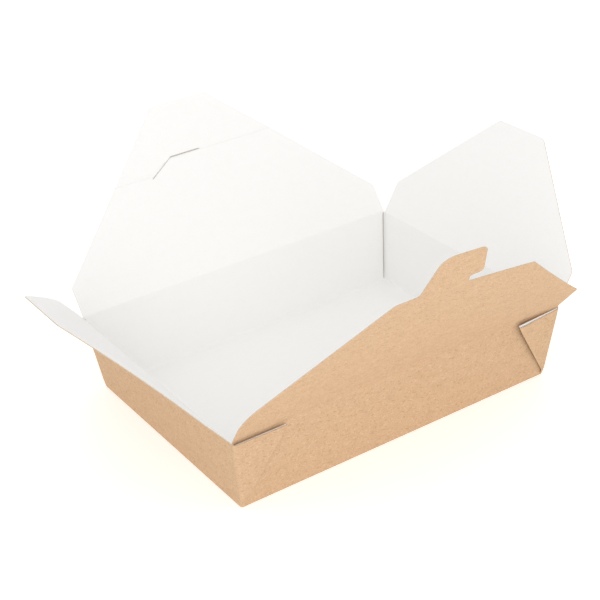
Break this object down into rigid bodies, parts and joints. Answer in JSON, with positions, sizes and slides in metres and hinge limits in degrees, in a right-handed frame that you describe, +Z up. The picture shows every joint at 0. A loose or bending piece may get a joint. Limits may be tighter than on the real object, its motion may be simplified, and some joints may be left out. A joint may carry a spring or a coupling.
{
  "type": "takeaway box",
  "caption": "Folded kraft-board takeaway box with flared walls, two long lid flaps that lock with a tab and slit, and plain end flaps.",
  "frame": {"origin": "middle of the base's underside", "axes": "+X to the right along the long walls, -Y out of the front long wall, +Z up"},
  "size_m": [0.3127, 0.2887, 0.1458],
  "materials": {
    "kraft_board": "uncoated kraft outside, white coated inside",
    "coated_board": "white coated inside, uncoated kraft outside"
  },
  "bodies": {
    "tray": {"tray": "kraft_board"},
    "front_flap": {"front_flap": "kraft_board"},
    "back_flap": {"back_flap": "coated_board"},
    "left_flap": {"left_flap": "coated_board"},
    "right_flap": {"right_flap": "coated_board"}
  },
  "joints": [
    {"name": "front_fold", "type": "hinge", "parent": "tray", "child": "front_flap", "pos_m": [0, -0.08077, 0.0455], "axis": [-1, 0, 0], "range_deg": [-76.5, 122.5]},
    {"name": "back_fold", "type": "hinge", "parent": "tray", "child": "back_flap", "pos_m": [0, 0.08077, 0.0455], "axis": [1, 0, 0], "range_deg": [-75, 125]},
    {"name": "left_fold", "type": "hinge", "parent": "tray", "child": "left_flap", "pos_m": [-0.10719, 0, 0.0448], "axis": [0, 1, 0], "range_deg": [-77.8, 133.7]},
    {"name": "right_fold", "type": "hinge", "parent": "tray", "child": "right_flap", "pos_m": [0.10719, 0, 0.0448], "axis": [0, -1, 0], "range_deg": [-88, 123.5]}
  ]
}
